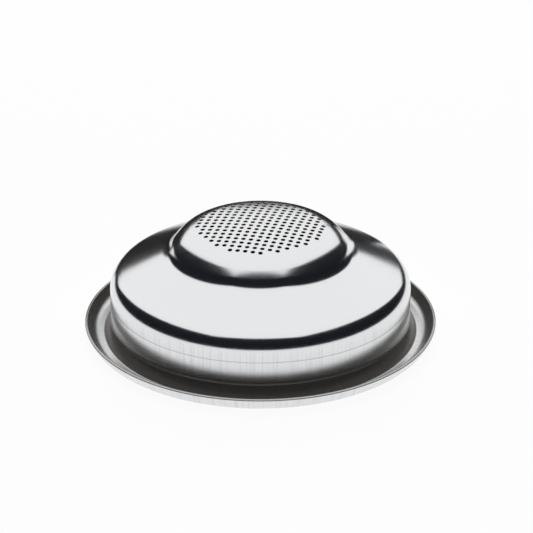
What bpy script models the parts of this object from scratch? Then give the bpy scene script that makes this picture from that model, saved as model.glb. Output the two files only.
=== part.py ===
"""Single-cup espresso filter basket: one cup pressed from stainless sheet.

It stands upside down on its rim: the channel round the rim is on the floor, the stepped cup rises
from it, and the perforated dome is on top. Metres, +Z up, the axis of the cup on Z.
"""

import math

import bmesh
import bpy
from mathutils import Matrix, Vector

# Overall sizes
SHEET = 0.0006
HEIGHT = 0.02319
RIM_RADIUS = 0.0351
CHANNEL_FLAT = 0.00085
SKIRT_RUN = 0.00237
LIP_RUN = 0.0016

# Bends of the visible skin, by radius
DOME_BEND = 0.105
KNUCKLE_BEND = 0.0077
FLANK_BEND = 0.020
FOOT_BEND = 0.0040
WELL_ROOT_BEND = 0.0038
SHOULDER_BEND = 0.0040
SKIRT_BEND = 0.0020
ROOT_BEND = 0.0004
LIP_BEND = 0.0018

# Slopes of the visible skin, down from level, where one bend meets the next
LEVEL = 0.0
DOME_EDGE_SLOPE = math.radians(6.3)
KNUCKLE_SLOPE = math.radians(45.0)
FLANK_SLOPE = math.radians(49.0)
FOOT_SLOPE = math.radians(62.0)
CONE_SLOPE = math.radians(24.0)
UPRIGHT = math.radians(90.0)
SKIRT_SLOPE = math.radians(65.0)
LIP_SLOPE = math.radians(65.0)

# Holes, on a square grid that is centred on the dome
HOLE_RADIUS = 0.0004
HOLE_PITCH = 0.0015
PATTERN_RADIUS = 0.0125
PATTERN_TURN = math.radians(-13.75)
PUNCH_REACH = 0.0020
PUNCH_CLEARANCE = 0.0005

# Fineness of the form
TURN_STEPS = 40
CHORD_GAP = 0.00004
HOLE_SIDES = 6
MERGE = 0.00001

# From the rim inwards: the straight lip, the bend below it and the channel's flat floor.
LIP_RISE = Vector((math.cos(LIP_SLOPE), math.sin(LIP_SLOPE))) * LIP_RUN
LIP_RADIUS = RIM_RADIUS - SHEET * math.sin(LIP_SLOPE)
FLOOR_RADIUS = LIP_RADIUS - LIP_RISE.x - LIP_BEND * math.sin(LIP_SLOPE) - CHANNEL_FLAT
SKIRT_RISE = Vector((-math.cos(SKIRT_SLOPE), math.sin(SKIRT_SLOPE))) * SKIRT_RUN

STEEL_COLOUR = (0.78, 0.79, 0.80, 1.0)
STEEL_ROUGHNESS = 0.18


def clear_scene():
    for thing in list(bpy.data.objects):
        bpy.data.objects.remove(thing)


def make_collection(name):
    collection = bpy.data.collections.new(name)
    bpy.context.scene.collection.children.link(collection)
    return collection


def steel_material():
    material = bpy.data.materials.new("polished_steel")
    material.use_nodes = True
    shader = material.node_tree.nodes["Principled BSDF"]
    shader.inputs["Base Color"].default_value = STEEL_COLOUR
    shader.inputs["Metallic"].default_value = 1.0
    shader.inputs["Roughness"].default_value = STEEL_ROUGHNESS
    return material


def facing(slope):
    """The way that the visible skin faces where it has this slope."""
    return Vector((math.sin(slope), math.cos(slope)))


def bend(start, radius, slope, new_slope):
    """Points that follow the start along a bend. The radius is negative where the skin is hollow."""
    step = 2.0 * math.acos(1.0 - CHORD_GAP / abs(radius))
    count = math.ceil(abs(new_slope - slope) / step)
    slopes = [slope + (new_slope - slope) * (i + 1) / count for i in range(count)]
    return [start + radius * (facing(s) - facing(slope)) for s in slopes]


def foot_profile():
    """The visible skin from the channel's floor in to the tight root and up the skirt to the wall."""
    foot = [Vector((FLOOR_RADIUS, SHEET))]
    foot += bend(foot[-1], -ROOT_BEND, LEVEL, SKIRT_SLOPE)
    foot.append(foot[-1] + SKIRT_RISE)
    foot += bend(foot[-1], -SKIRT_BEND, SKIRT_SLOPE, UPRIGHT)
    return foot


def skin_profile():
    """The visible skin as (radius, height), from the dome's centre to the lip's free edge."""
    foot = foot_profile()
    skin = [Vector((0.0, HEIGHT))]
    skin += bend(skin[-1], DOME_BEND, LEVEL, DOME_EDGE_SLOPE)
    skin += bend(skin[-1], KNUCKLE_BEND, DOME_EDGE_SLOPE, KNUCKLE_SLOPE)
    skin += bend(skin[-1], FLANK_BEND, KNUCKLE_SLOPE, FLANK_SLOPE)
    skin += bend(skin[-1], FOOT_BEND, FLANK_SLOPE, FOOT_SLOPE)
    skin += bend(skin[-1], -WELL_ROOT_BEND, FOOT_SLOPE, CONE_SLOPE)

    # The cone runs straight until the shoulder can turn it into the wall.
    cone_foot = foot[-1].x - SHOULDER_BEND * (1.0 - math.sin(CONE_SLOPE))
    cone_run = cone_foot - skin[-1].x
    skin.append(skin[-1] + Vector((cone_run, -cone_run * math.tan(CONE_SLOPE))))
    skin += bend(skin[-1], SHOULDER_BEND, CONE_SLOPE, UPRIGHT)

    # Past its flat floor the channel turns up into the straight, leaning lip.
    skin += reversed(foot)
    skin.append(skin[-1] + Vector((CHANNEL_FLAT, 0.0)))
    skin += bend(skin[-1], -LIP_BEND, LEVEL, -LIP_SLOPE)
    skin.append(skin[-1] + LIP_RISE)
    return skin


def make_cup(collection):
    """The cup: its visible skin turned about Z, then given the sheet's thickness behind it."""
    mesh = bpy.data.meshes.new("filter_basket")
    form = bmesh.new()
    points = [form.verts.new((point.x, 0.0, point.y)) for point in skin_profile()]
    for upper, lower in zip(points, points[1:]):
        form.edges.new((upper, lower))
    form.to_mesh(mesh)
    form.free()

    cup = bpy.data.objects.new("filter_basket", mesh)
    collection.objects.link(cup)
    mesh.materials.append(steel_material())

    turn = cup.modifiers.new("turn", "SCREW")
    turn.axis = "Z"
    turn.angle = math.radians(360.0)
    turn.steps = TURN_STEPS
    turn.render_steps = TURN_STEPS
    turn.use_merge_vertices = True
    turn.merge_threshold = MERGE
    turn.use_smooth_shade = True

    sheet = cup.modifiers.new("sheet", "SOLIDIFY")
    sheet.thickness = SHEET
    sheet.offset = -1.0
    sheet.use_even_offset = True
    return cup


def hole_places():
    """Points of the square grid that lie inside the round field of holes."""
    reach = math.floor(PATTERN_RADIUS / HOLE_PITCH)
    turn = Matrix.Rotation(PATTERN_TURN, 2)
    for column in range(-reach, reach + 1):
        for row in range(-reach, reach + 1):
            place = HOLE_PITCH * Vector((column, row))
            if place.length <= PATTERN_RADIUS:
                yield turn @ place


def make_punches(collection):
    """One punch for each hole, all in one cutter that passes right through the dome's sheet."""
    middle = HEIGHT + (PUNCH_CLEARANCE - PUNCH_REACH) / 2.0
    mesh = bpy.data.meshes.new("punches")
    form = bmesh.new()
    for place in hole_places():
        bmesh.ops.create_cone(
            form,
            cap_ends=True,
            segments=HOLE_SIDES,
            radius1=HOLE_RADIUS,
            radius2=HOLE_RADIUS,
            depth=PUNCH_CLEARANCE + PUNCH_REACH,
            matrix=Matrix.Translation((place.x, place.y, middle)),
        )
    form.to_mesh(mesh)
    form.free()

    punches = bpy.data.objects.new("punches", mesh)
    collection.objects.link(punches)
    punches.hide_render = True
    punches.display_type = "WIRE"
    return punches


def perforate(cup, punches):
    holes = cup.modifiers.new("holes", "BOOLEAN")
    holes.operation = "DIFFERENCE"
    holes.solver = "EXACT"
    holes.object = punches


clear_scene()
basket = make_cup(make_collection("espresso_filter_basket"))
perforate(basket, make_punches(make_collection("cutters")))
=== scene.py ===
import math

import bmesh
import bpy
from mathutils import Matrix, Vector


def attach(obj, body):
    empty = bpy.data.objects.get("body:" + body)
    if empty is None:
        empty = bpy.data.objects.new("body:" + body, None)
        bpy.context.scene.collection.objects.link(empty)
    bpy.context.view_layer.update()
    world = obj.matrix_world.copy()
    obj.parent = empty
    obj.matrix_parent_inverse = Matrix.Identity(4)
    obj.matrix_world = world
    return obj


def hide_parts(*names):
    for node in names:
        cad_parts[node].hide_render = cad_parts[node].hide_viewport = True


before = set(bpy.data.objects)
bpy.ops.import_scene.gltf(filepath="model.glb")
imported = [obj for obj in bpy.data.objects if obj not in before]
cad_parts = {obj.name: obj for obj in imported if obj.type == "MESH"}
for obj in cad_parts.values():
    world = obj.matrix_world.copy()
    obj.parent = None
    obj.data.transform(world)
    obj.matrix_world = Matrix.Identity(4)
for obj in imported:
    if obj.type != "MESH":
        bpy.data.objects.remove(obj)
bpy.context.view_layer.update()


# Camera. It stands in front of the basket and looks down on it, from far enough away that the
# round rim is hardly changed by perspective. Its target is a little beside the basket's axis.
CAMERA_TARGET = Vector((0.00121, 0.0, 0.01371))
CAMERA_DISTANCE = 0.400
CAMERA_ELEVATION = math.radians(25.39)
CAMERA_LENS = 136.4

camera_looks = Vector((0.0, math.cos(CAMERA_ELEVATION), -math.sin(CAMERA_ELEVATION)))
camera = bpy.data.objects.new("camera", bpy.data.cameras.new("camera"))
camera.data.lens = CAMERA_LENS
camera.location = CAMERA_TARGET - CAMERA_DISTANCE * camera_looks
camera.rotation_euler = (math.radians(90.0) - CAMERA_ELEVATION, 0.0, 0.0)
bpy.context.scene.collection.objects.link(camera)
bpy.context.scene.camera = camera


# Pressed cup. The whole basket is one disc of thin stainless sheet, drawn in a press into a rim
# channel, a wall, a cone and a raised well. It stands upside down, with its section the same all
# round, so the section is drawn once and turned about the axis.
SHEET = 0.0006
HEIGHT = 0.02319
RIM_RADIUS = 0.0351
CHANNEL_FLAT = 0.00085
SKIRT_RUN = 0.00237
LIP_RUN = 0.0016
EDGE_ROUNDING = 0.0002

DOME_BEND = 0.105
KNUCKLE_BEND = 0.0077
FLANK_BEND = 0.020
FOOT_BEND = 0.0040
WELL_ROOT_BEND = 0.0038
SHOULDER_BEND = 0.0040
SKIRT_BEND = 0.0020
ROOT_BEND = 0.0004
LIP_BEND = 0.0018

LEVEL = 0.0
DOME_EDGE_SLOPE = math.radians(6.3)
KNUCKLE_SLOPE = math.radians(45.0)
FLANK_SLOPE = math.radians(49.0)
FOOT_SLOPE = math.radians(62.0)
CONE_SLOPE = math.radians(24.0)
UPRIGHT = math.radians(90.0)
SKIRT_SLOPE = math.radians(65.0)
LIP_SLOPE = math.radians(65.0)

# From the rim inwards: the straight lip, the bend below it and the channel's flat floor.
LIP_RISE = Vector((math.cos(LIP_SLOPE), math.sin(LIP_SLOPE))) * LIP_RUN
LIP_RADIUS = RIM_RADIUS - SHEET * math.sin(LIP_SLOPE)
FLOOR_RADIUS = LIP_RADIUS - LIP_RISE.x - LIP_BEND * math.sin(LIP_SLOPE) - CHANNEL_FLAT
SKIRT_RISE = Vector((-math.cos(SKIRT_SLOPE), math.sin(SKIRT_SLOPE))) * SKIRT_RUN

LINE_HEIGHT = 0.00799
LINE_WIDTH = 0.0003
LINE_DEPTH = 0.00001
LINE_SHADE = 0.4

SCREEN_RADIUS = 0.0138
TURN_STEPS = 200
BEND_STEP = math.radians(4.0)
SKIRT_STEP = math.radians(3.0)
ROOT_STEP = math.radians(9.0)
EDGE_STEP = math.radians(15.0)
CONE_RINGS = 6
WALL_RINGS = 3


def facing(slope):
    """The way that the visible skin faces where it slopes down by this angle."""
    return Vector((math.sin(slope), math.cos(slope)))


def bend(skin, radius, new_slope, step=BEND_STEP):
    """Carries the skin round a bend. The radius is negative where the skin is hollow."""
    start, slope = skin[-1]
    count = math.ceil(abs(new_slope - slope) / step)
    for i in range(count):
        now = slope + (new_slope - slope) * (i + 1) / count
        skin.append((start + radius * (facing(now) - facing(slope)), now))


def run(skin, end, rings=1):
    """Carries the skin straight on to a point."""
    start, slope = skin[-1]
    skin.extend((start.lerp(end, (i + 1) / rings), slope) for i in range(rings))


dome_edge = DOME_BEND * facing(DOME_EDGE_SLOPE) + Vector((0.0, HEIGHT - DOME_BEND))
knuckle_centre = dome_edge - KNUCKLE_BEND * facing(DOME_EDGE_SLOPE)


def screen_point(radius):
    """The visible skin and its slope at this radius, on the dome or the start of the knuckle."""
    if radius <= dome_edge.x:
        slope = math.asin(radius / DOME_BEND)
        return Vector((radius, HEIGHT + DOME_BEND * (math.cos(slope) - 1.0))), slope
    slope = math.asin((radius - knuckle_centre.x) / KNUCKLE_BEND)
    return knuckle_centre + KNUCKLE_BEND * facing(slope), slope


# From the channel's floor in to the tight root, and up the flared skirt to the foot of the wall.
foot = [(Vector((FLOOR_RADIUS, SHEET)), LEVEL)]
bend(foot, -ROOT_BEND, SKIRT_SLOPE, ROOT_STEP)
run(foot, foot[-1][0] + SKIRT_RISE, WALL_RINGS)
bend(foot, -SKIRT_BEND, UPRIGHT, SKIRT_STEP)
WALL_RADIUS = foot[-1][0].x

# From the edge of the screen down the well's side, over the cone and the shoulder to the wall.
visible = [screen_point(SCREEN_RADIUS)]
bend(visible, KNUCKLE_BEND, KNUCKLE_SLOPE, BEND_STEP / 2.0)
bend(visible, FLANK_BEND, FLANK_SLOPE)
bend(visible, FOOT_BEND, FOOT_SLOPE)
bend(visible, -WELL_ROOT_BEND, CONE_SLOPE)
cone_foot_radius = WALL_RADIUS - SHOULDER_BEND * (1.0 - math.sin(CONE_SLOPE))
cone_run = cone_foot_radius - visible[-1][0].x
cone_foot = visible[-1][0] + Vector((cone_run, -cone_run * math.tan(CONE_SLOPE)))
run(visible, cone_foot, CONE_RINGS)
bend(visible, SHOULDER_BEND, UPRIGHT)

# Down the wall, which has one fine turned line round it.
run(visible, Vector((WALL_RADIUS, LINE_HEIGHT + LINE_WIDTH / 2.0)))
run(visible, Vector((WALL_RADIUS - LINE_DEPTH, LINE_HEIGHT)))
run(visible, Vector((WALL_RADIUS, LINE_HEIGHT - LINE_WIDTH / 2.0)))

# Down the foot, across the channel's floor and up into the straight, leaning lip.
run(visible, foot[-1][0], WALL_RINGS)
visible += foot[-2::-1]
run(visible, visible[-1][0] + Vector((CHANNEL_FLAT, 0.0)))
bend(visible, -LIP_BEND, -LIP_SLOPE)
run(visible, visible[-1][0] + LIP_RISE * (1.0 - EDGE_ROUNDING / LIP_RUN))

# The skin behind lies one sheet's thickness away, and the two meet round the lip's free edge.
behind = [(point - SHEET * facing(slope)) for point, slope in visible]
edge = [visible[-1]]
bend(edge, EDGE_ROUNDING, UPRIGHT - LIP_SLOPE, EDGE_STEP)
run(edge, edge[-1][0] - (SHEET - 2.0 * EDGE_ROUNDING) * facing(-LIP_SLOPE))
bend(edge, EDGE_ROUNDING, math.radians(180.0) - LIP_SLOPE, EDGE_STEP)
section = [point for point, slope in visible + edge[1:-1]] + behind[::-1]

# The painted shade on the skirt and on the lip's hollow side is drawn on the section too, as a
# share.
PAINTED_SHADE_TOP = 0.0052
PAINTED_SHADE_BOTTOM = 0.0038
FLOOR_PAINTED_SHADE = 0.06
EDGE_PAINTED_SHADE = 0.5
UNSHADED_SLOPE = math.radians(22.0)
SHADED_SLOPE = math.radians(48.0)


def ramp(value, start, end):
    """0 before the start value, 1 past the end value and even between them."""
    return min(max((value - start) / (end - start), 0.0), 1.0)


def painted_shade_share(point, slope):
    """How much painted shade lies on this point of the visible skin. The turned line's groove gets
    some too.
    """
    if abs(point.y - LINE_HEIGHT) < LINE_DEPTH:
        return LINE_SHADE
    if point.x < foot[0][0].x:
        steep = ramp(slope, LEVEL, SHADED_SLOPE)
        return ramp(point.y, PAINTED_SHADE_TOP, PAINTED_SHADE_BOTTOM) * (FLOOR_PAINTED_SHADE + (1.0 - FLOOR_PAINTED_SHADE) * steep)
    return FLOOR_PAINTED_SHADE + (1.0 - FLOOR_PAINTED_SHADE) * ramp(-slope, UNSHADED_SLOPE, SHADED_SLOPE)


# Each point gets its share of painted shade: the lower wall, skirt, channel and lip's hollow side,
# half on the free edge.
painted_shade_shares = [painted_shade_share(point, slope) for point, slope in visible]
painted_shade_shares += [EDGE_PAINTED_SHADE] * (len(edge) - 2) + [0.0] * len(behind)

cup_form = bmesh.new()
painted_shade_layer = cup_form.verts.layers.float.new("painted_shade")
cup_form.verts.layers.float.new("punched")
section_points = [cup_form.verts.new((point.x, 0.0, point.y)) for point in section]
for point, share in zip(section_points, painted_shade_shares):
    point[painted_shade_layer] = share
section_lines = [cup_form.edges.new(pair) for pair in zip(section_points, section_points[1:])]
bmesh.ops.spin(
    cup_form,
    geom=section_points + section_lines,
    cent=(0.0, 0.0, 0.0),
    axis=(0.0, 0.0, 1.0),
    dvec=(0.0, 0.0, 0.0),
    angle=2.0 * math.pi,
    steps=TURN_STEPS,
    use_merge=True,
    use_duplicate=False,
)


# Screen. The middle of the same sheet is punched with a square grid of fine round holes before
# it is drawn, so each hole stands square to the dome and has a slightly rounded rim.
HOLE_RADIUS = 0.0004
HOLE_PITCH = 0.0015
PATTERN_RADIUS = 0.0125
PATTERN_TURN = math.radians(-13.75)
RIM_ROUNDING = 0.00008
RIM_STEPS = 2
RIM_COLLAR = 0.00003
HOLE_SIDES = 16
MERGE = 0.000002


def hole_cell():
    """One square of flat sheet round one hole, both skins, with the hole's wall between them."""
    cell = bmesh.new()
    reach = HOLE_PITCH / 2.0
    bmesh.ops.create_grid(cell, x_segments=HOLE_SIDES // 4, y_segments=HOLE_SIDES // 4, size=reach)
    inner = [v for v in cell.verts if max(abs(v.co.x), abs(v.co.y)) < reach - MERGE]
    bmesh.ops.delete(cell, geom=inner, context="VERTS")
    rim_radius = HOLE_RADIUS + RIM_ROUNDING
    collar_radius = rim_radius + RIM_COLLAR
    ring = bmesh.ops.create_circle(cell, segments=HOLE_SIDES, radius=collar_radius)["verts"]
    rim = [line for line in cell.edges if all(v in ring for v in line.verts)]
    bmesh.ops.bridge_loops(cell, edges=cell.edges[:])

    # Round the rim over into the hole, and carry the hole's wall to the middle of the sheet.
    rings = [(rim_radius, 0.0)]
    for i in range(RIM_STEPS):
        turn = math.radians(90.0) * (i + 1) / RIM_STEPS
        rings.append((
            HOLE_RADIUS + RIM_ROUNDING * (1.0 - math.sin(turn)),
            -RIM_ROUNDING * (1.0 - math.cos(turn)),
        ))
    rings.append((HOLE_RADIUS, -SHEET / 2.0))
    radius, depth = collar_radius, 0.0
    for new_radius, new_depth in rings:
        made = bmesh.ops.extrude_edge_only(cell, edges=rim)["geom"]
        ring = [part for part in made if isinstance(part, bmesh.types.BMVert)]
        rim = [part for part in made if isinstance(part, bmesh.types.BMEdge)]
        rim = [line for line in rim if line.verts[0] in ring and line.verts[1] in ring]
        shrink = new_radius / radius
        bmesh.ops.scale(cell, vec=(shrink, shrink, 1.0), verts=ring)
        bmesh.ops.translate(cell, vec=(0.0, 0.0, new_depth - depth), verts=ring)
        radius, depth = new_radius, new_depth

    middle = Matrix.Translation((0.0, 0.0, SHEET / 2.0))
    bmesh.ops.mirror(
        cell,
        geom=cell.verts[:] + cell.edges[:] + cell.faces[:],
        matrix=middle,
        merge_dist=MERGE,
        axis="Z",
    )
    mesh = bpy.data.meshes.new("hole_cell")
    cell.to_mesh(mesh)
    cell.free()
    return mesh


cell_mesh = hole_cell()
screen_form = bmesh.new()
reach = math.floor(PATTERN_RADIUS / HOLE_PITCH)
for column in range(-reach, reach + 1):
    for row in range(-reach, reach + 1):
        place = HOLE_PITCH * Vector((column, row, 0.0))
        if place.length > PATTERN_RADIUS:
            continue
        count = len(screen_form.verts)
        screen_form.from_mesh(cell_mesh)
        screen_form.verts.ensure_lookup_table()
        bmesh.ops.translate(screen_form, vec=place, verts=screen_form.verts[count:])
bmesh.ops.remove_doubles(screen_form, verts=screen_form.verts, dist=MERGE)
bmesh.ops.rotate(
    screen_form,
    verts=screen_form.verts,
    matrix=Matrix.Rotation(PATTERN_TURN, 3, "Z"),
)

# Plain sheet fills each skin between the grid of holes and the turned section.
for depth in (0.0, -SHEET):
    bmesh.ops.create_circle(
        screen_form,
        segments=TURN_STEPS,
        radius=SCREEN_RADIUS,
        matrix=Matrix.Translation((0.0, 0.0, depth)),
    )
    open_lines = [
        line for line in screen_form.edges
        if len(line.link_faces) < 2 and all(abs(v.co.z - depth) < MERGE for v in line.verts)
    ]
    bmesh.ops.triangle_fill(screen_form, use_beauty=True, use_dissolve=False, edges=open_lines)

# The flat screen is pressed onto the dome. What lies between its two skins was cut by the punch.
cut = screen_form.verts.layers.float.new("punched")
for point in screen_form.verts:
    point[cut] = float(MERGE < -point.co.z < SHEET - MERGE)
    across = point.co.xy.length
    place, slope = screen_point(across)
    place += point.co.z * facing(slope)
    outward = point.co.xy.normalized() if across > 0.0 else Vector((0.0, 0.0))
    point.co = Vector((outward.x * place.x, outward.y * place.x, place.y))

screen_mesh = bpy.data.meshes.new("screen")
screen_form.to_mesh(screen_mesh)
screen_form.free()
cup_form.from_mesh(screen_mesh)
bmesh.ops.remove_doubles(cup_form, verts=cup_form.verts, dist=MERGE)
bmesh.ops.recalc_face_normals(cup_form, faces=cup_form.faces)

cup_mesh = bpy.data.meshes.new("pressed_cup")
cup_form.to_mesh(cup_mesh)
cup_form.free()
cup_mesh.shade_smooth()
pressed_cup = bpy.data.objects.new("pressed_cup", cup_mesh)
bpy.context.scene.collection.objects.link(pressed_cup)

# Steel. The dome and cone are polished. The wall and channel keep fine upright draw marks, and
# a brownish grey painted shade darkens the skirt and the lip's hollow side. The walls of the
# holes are rough, and painted shade makes them near black.
POLISHED_COLOUR = (0.77, 0.775, 0.785, 1.0)
# Painted shade: a dark brownish grey, less metallic, for the skirt, the channel and the lip's
# hollow side.
PAINTED_SHADE_COLOUR = (0.215, 0.206, 0.192, 1.0)
PAINTED_SHADE_METAL = 0.58
# Painted shade: the walls and rounded rims of the holes are painted near black.
HOLE_SHADE_COLOUR = (0.015, 0.015, 0.016, 1.0)
PUNCHED_ROUGHNESS = 0.9
POLISHED_ROUGHNESS = 0.16
DRAWN_ROUGHNESS = 0.25
DRAWN_TOP = 0.0110
DRAWN_BOTTOM = 0.0090
MARKS_PER_RADIAN = 75.0
MARK_RUN = 60.0
MARK_DEPTH = 0.0000025
MARK_SHADE = 0.91
MARK_DARK_BELOW = 0.30
MARK_LIGHT_ABOVE = 0.55
MARK_DETAIL = 3.0
CLOUD_SCALE = 260.0
CLOUD_DETAIL = 2.0
CLOUD_SMOOTHEST = 0.88
CLOUD_ROUGHEST = 1.12
GRAIN_SCALE = 2600.0
GRAIN_DETAIL = 1.0
GRAIN_DEPTH = 0.04

steel = bpy.data.materials.new("polished_steel")
steel.use_nodes = True
steel_nodes = steel.node_tree.nodes
steel_links = steel.node_tree.links
steel_shader = steel_nodes["Principled BSDF"]


def steel_node(kind, **settings):
    """A node of the steel, with its settings."""
    node = steel_nodes.new(kind)
    for name, value in settings.items():
        setattr(node, name, value)
    return node


def zone(value, start, end):
    """A soft mask, 0 at the start value and 1 at the end value."""
    mask = steel_node("ShaderNodeMapRange", interpolation_type="SMOOTHSTEP")
    steel_links.new(value, mask.inputs["Value"])
    mask.inputs["From Min"].default_value = start
    mask.inputs["From Max"].default_value = end
    return mask.outputs["Result"]


def blend(kind, share, first, second):
    """A mix of two values or colours, each a socket or a constant."""
    mix = steel_node("ShaderNodeMix", data_type=kind)
    sockets = [socket for socket in mix.inputs if socket.enabled]
    for socket, item in zip(sockets, (share, first, second)):
        if isinstance(item, bpy.types.NodeSocket):
            steel_links.new(item, socket)
        else:
            socket.default_value = item
    return next(socket for socket in mix.outputs if socket.enabled)


def noise(vector, scale, detail):
    """An uneven pattern with patches of this scale."""
    texture = steel_node("ShaderNodeTexNoise")
    texture.inputs["Scale"].default_value = scale
    texture.inputs["Detail"].default_value = detail
    steel_links.new(vector, texture.inputs["Vector"])
    return texture.outputs["Fac"]


steel_place = steel_node("ShaderNodeTexCoord").outputs["Object"]
split = steel_node("ShaderNodeSeparateXYZ")
steel_links.new(steel_place, split.inputs[0])
height = split.outputs["Z"]

# Draw marks follow the section, so they depend on the way round and only slowly on the height.
level = steel_node("ShaderNodeCombineXYZ")
steel_links.new(split.outputs["X"], level.inputs["X"])
steel_links.new(split.outputs["Y"], level.inputs["Y"])
around = steel_node("ShaderNodeVectorMath", operation="NORMALIZE")
steel_links.new(level.outputs[0], around.inputs[0])
around_far = steel_node("ShaderNodeVectorMath", operation="SCALE")
around_far.inputs["Scale"].default_value = MARKS_PER_RADIAN
steel_links.new(around.outputs[0], around_far.inputs[0])
climb = steel_node("ShaderNodeCombineXYZ")
climb_far = steel_node("ShaderNodeMath", operation="MULTIPLY")
climb_far.inputs[1].default_value = MARK_RUN
steel_links.new(height, climb_far.inputs[0])
steel_links.new(climb_far.outputs[0], climb.inputs["Z"])
mark_place = steel_node("ShaderNodeVectorMath", operation="ADD")
steel_links.new(around_far.outputs[0], mark_place.inputs[0])
steel_links.new(climb.outputs[0], mark_place.inputs[1])

marks = noise(mark_place.outputs[0], 1.0, MARK_DETAIL)
clouds = noise(steel_place, CLOUD_SCALE, CLOUD_DETAIL)
grain = noise(steel_place, GRAIN_SCALE, GRAIN_DETAIL)
drawn = zone(height, DRAWN_TOP, DRAWN_BOTTOM)
painted_shade = steel_node("ShaderNodeAttribute", attribute_name="painted_shade").outputs["Fac"]
punched = steel_node("ShaderNodeAttribute", attribute_name="punched").outputs["Fac"]

plain_roughness = blend("FLOAT", drawn, POLISHED_ROUGHNESS, DRAWN_ROUGHNESS)
cloudy_roughness = blend("FLOAT", clouds, CLOUD_SMOOTHEST, CLOUD_ROUGHEST)
roughness = steel_node("ShaderNodeMath", operation="MULTIPLY")
steel_links.new(plain_roughness, roughness.inputs[0])
steel_links.new(cloudy_roughness, roughness.inputs[1])
ground_roughness = blend("FLOAT", punched, roughness.outputs[0], PUNCHED_ROUGHNESS)
steel_links.new(ground_roughness, steel_shader.inputs["Roughness"])
metal = blend("FLOAT", punched, blend("FLOAT", painted_shade, 1.0, PAINTED_SHADE_METAL), 0.0)
steel_links.new(metal, steel_shader.inputs["Metallic"])

# The painted shade blends the polished colour towards a dark brownish grey.
tone = blend("RGBA", painted_shade, POLISHED_COLOUR, PAINTED_SHADE_COLOUR)
mark_shade = zone(marks, MARK_DARK_BELOW, MARK_LIGHT_ABOVE)
marked = blend("FLOAT", drawn, 1.0, blend("FLOAT", mark_shade, MARK_SHADE, 1.0))
marks_and_painted_shade = steel_node("ShaderNodeVectorMath", operation="SCALE")
steel_links.new(tone, marks_and_painted_shade.inputs[0])
steel_links.new(marked, marks_and_painted_shade.inputs["Scale"])
# Painted shade turns the holes' walls near black.
colour = blend("RGBA", punched, marks_and_painted_shade.outputs[0], HOLE_SHADE_COLOUR)
steel_links.new(colour, steel_shader.inputs["Base Color"])

relief = blend("FLOAT", drawn, blend("FLOAT", GRAIN_DEPTH, 0.0, grain), marks)
bump = steel_node("ShaderNodeBump")
bump.inputs["Distance"].default_value = MARK_DEPTH
steel_links.new(relief, bump.inputs["Height"])
steel_links.new(bump.outputs[0], steel_shader.inputs["Normal"])
cup_mesh.materials.append(steel)

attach(pressed_cup, "root")
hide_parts("filter_basket")


# Floor. A plain white sheet of paper that the basket stands on. It is white in the steel's
# reflections too, and it keeps a soft shadow.
FLOOR_REACH = 3.0
FLOOR_DROP = 0.00002
DISC_SIDES = 96
PAPER_COLOUR = (0.9, 0.9, 0.9, 1.0)
FLOOR_GLOW = 0.85
FLOOR_WHITE = 1.06

floor_form = bmesh.new()
bmesh.ops.create_circle(floor_form, cap_ends=True, segments=DISC_SIDES, radius=FLOOR_REACH)
floor_mesh = bpy.data.meshes.new("floor")
floor_form.to_mesh(floor_mesh)
floor_form.free()
floor = bpy.data.objects.new("floor", floor_mesh)
floor.location.z = -FLOOR_DROP
bpy.context.scene.collection.objects.link(floor)

paper = bpy.data.materials.new("white_paper")
paper.use_nodes = True
paper_nodes = paper.node_tree.nodes
paper_links = paper.node_tree.links
paper_nodes.clear()
paper_out = paper_nodes.new("ShaderNodeOutputMaterial")
paper_mix = paper_nodes.new("ShaderNodeMixShader")
paper_diffuse = paper_nodes.new("ShaderNodeBsdfDiffuse")
paper_diffuse.inputs["Color"].default_value = PAPER_COLOUR
paper_glow = paper_nodes.new("ShaderNodeEmission")
paper_glow.inputs["Strength"].default_value = FLOOR_WHITE
rays = paper_nodes.new("ShaderNodeLightPath")
camera_or_glossy = paper_nodes.new("ShaderNodeMath")
camera_or_glossy.operation = "MAXIMUM"
seen = paper_nodes.new("ShaderNodeMath")
seen.operation = "MAXIMUM"
glow_share = paper_nodes.new("ShaderNodeMath")
glow_share.operation = "MULTIPLY"
glow_share.inputs[1].default_value = FLOOR_GLOW
paper_links.new(rays.outputs["Is Camera Ray"], camera_or_glossy.inputs[0])
paper_links.new(rays.outputs["Is Glossy Ray"], camera_or_glossy.inputs[1])
paper_links.new(camera_or_glossy.outputs[0], seen.inputs[0])
paper_links.new(rays.outputs["Is Transmission Ray"], seen.inputs[1])
paper_links.new(seen.outputs[0], glow_share.inputs[0])
paper_links.new(glow_share.outputs[0], paper_mix.inputs["Fac"])
paper_links.new(paper_diffuse.outputs[0], paper_mix.inputs[1])
paper_links.new(paper_glow.outputs[0], paper_mix.inputs[2])
paper_links.new(paper_mix.outputs[0], paper_out.inputs["Surface"])
floor_mesh.materials.append(paper)


# Studio. One large soft panel hangs over and behind the basket in an otherwise dark room. It
# slopes down to the back and reaches a little further to the left. A low dark card stands behind.
PANEL_GLOW = 1.0
PANEL_CORNERS = (
    Vector((-0.325, -0.335, 0.622)),
    Vector((0.290, -0.335, 0.622)),
    Vector((-0.630, 0.758, 0.200)),
    Vector((0.600, 0.749, 0.210)),
)

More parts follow.
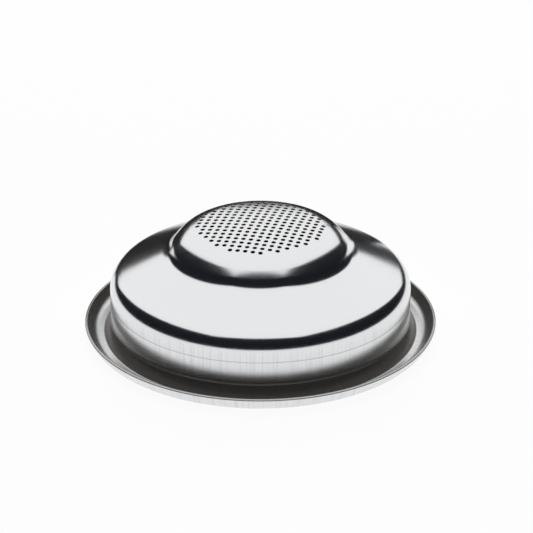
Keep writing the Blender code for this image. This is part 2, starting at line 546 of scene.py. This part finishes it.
panel_form = bmesh.new()
panel_corners = bmesh.ops.create_grid(panel_form, x_segments=1, y_segments=1, size=0.5)["verts"]
panel_corners.sort(key=lambda corner: (corner.co.y, corner.co.x))
for corner, point in zip(panel_corners, PANEL_CORNERS):
    corner.co = point
panel_mesh = bpy.data.meshes.new("soft_panel")
panel_form.to_mesh(panel_mesh)
panel_form.free()
panel = bpy.data.objects.new("soft_panel", panel_mesh)
panel.visible_camera = False
bpy.context.scene.collection.objects.link(panel)
panel_glow = bpy.data.materials.new("soft_panel")
panel_glow.use_nodes = True
panel_shader = panel_glow.node_tree.nodes["Principled BSDF"]
panel_shader.inputs["Base Color"].default_value = (0.0, 0.0, 0.0, 1.0)
panel_shader.inputs["Emission Color"].default_value = (1.0, 1.0, 1.0, 1.0)
panel_shader.inputs["Emission Strength"].default_value = PANEL_GLOW
panel_mesh.materials.append(panel_glow)

CARD_LEFT = -0.075
CARD_RIGHT = 0.040
CARD_BACK = 0.085
CARD_HEIGHT = 0.0415
# The black of the card behind, used under the basket as painted shade too.
DARK_CARD_AND_SHADE_COLOUR = (0.015, 0.015, 0.016, 1.0)
BLACK_PAPER_ROUGHNESS = 0.9

card_form = bmesh.new()
bmesh.ops.create_grid(card_form, x_segments=1, y_segments=1, size=0.5)
bmesh.ops.scale(card_form, vec=(CARD_RIGHT - CARD_LEFT, CARD_HEIGHT, 1.0), verts=card_form.verts)
card_mesh = bpy.data.meshes.new("dark_card")
card_form.to_mesh(card_mesh)
card_form.free()
card = bpy.data.objects.new("dark_card", card_mesh)
card.location = ((CARD_LEFT + CARD_RIGHT) / 2.0, CARD_BACK, CARD_HEIGHT / 2.0)
card.rotation_euler = (math.radians(90.0), 0.0, 0.0)
card.visible_camera = False
card.visible_shadow = False
card.visible_diffuse = False
bpy.context.scene.collection.objects.link(card)
dark_card_and_painted_shade = bpy.data.materials.new("dark_card_and_painted_shade")
dark_card_and_painted_shade.use_nodes = True
card_shader = dark_card_and_painted_shade.node_tree.nodes["Principled BSDF"]
card_shader.inputs["Base Color"].default_value = DARK_CARD_AND_SHADE_COLOUR
card_shader.inputs["Roughness"].default_value = BLACK_PAPER_ROUGHNESS
card_mesh.materials.append(dark_card_and_painted_shade)

# A disc of the same dark material lies under the basket, out of sight, as painted shade, so that
# its inside stays dark.
UNDER_SHADE_RADIUS = 0.0315
UNDER_SHADE_DROP = 0.00001

under_form = bmesh.new()
bmesh.ops.create_circle(
    under_form,
    cap_ends=True,
    segments=DISC_SIDES,
    radius=UNDER_SHADE_RADIUS,
)
under_mesh = bpy.data.meshes.new("under_shade_disc")
under_form.to_mesh(under_mesh)
under_form.free()
under_shade_disc = bpy.data.objects.new("under_shade_disc", under_mesh)
under_shade_disc.location.z = -UNDER_SHADE_DROP
bpy.context.scene.collection.objects.link(under_shade_disc)
under_mesh.materials.append(dark_card_and_painted_shade)

# A broad lamp high above lights the floor. It isn't seen in the steel.
FLOOR_LAMP_SIZE = 1.2
FLOOR_LAMP_HEIGHT = 1.0
FLOOR_LAMP_POWER = 15.0
ROOM_COLOUR = (0.011, 0.012, 0.016, 1.0)

lamp = bpy.data.objects.new("floor_lamp", bpy.data.lights.new("floor_lamp", "AREA"))
lamp.data.size = FLOOR_LAMP_SIZE
lamp.data.energy = FLOOR_LAMP_POWER
lamp.location = (0.0, 0.0, FLOOR_LAMP_HEIGHT)
lamp.visible_glossy = False
bpy.context.scene.collection.objects.link(lamp)

world = bpy.data.worlds.new("dark_room")
world.use_nodes = True
world.node_tree.nodes["Background"].inputs["Color"].default_value = ROOM_COLOUR
bpy.context.scene.world = world
bpy.context.scene.view_settings.view_transform = "Standard"
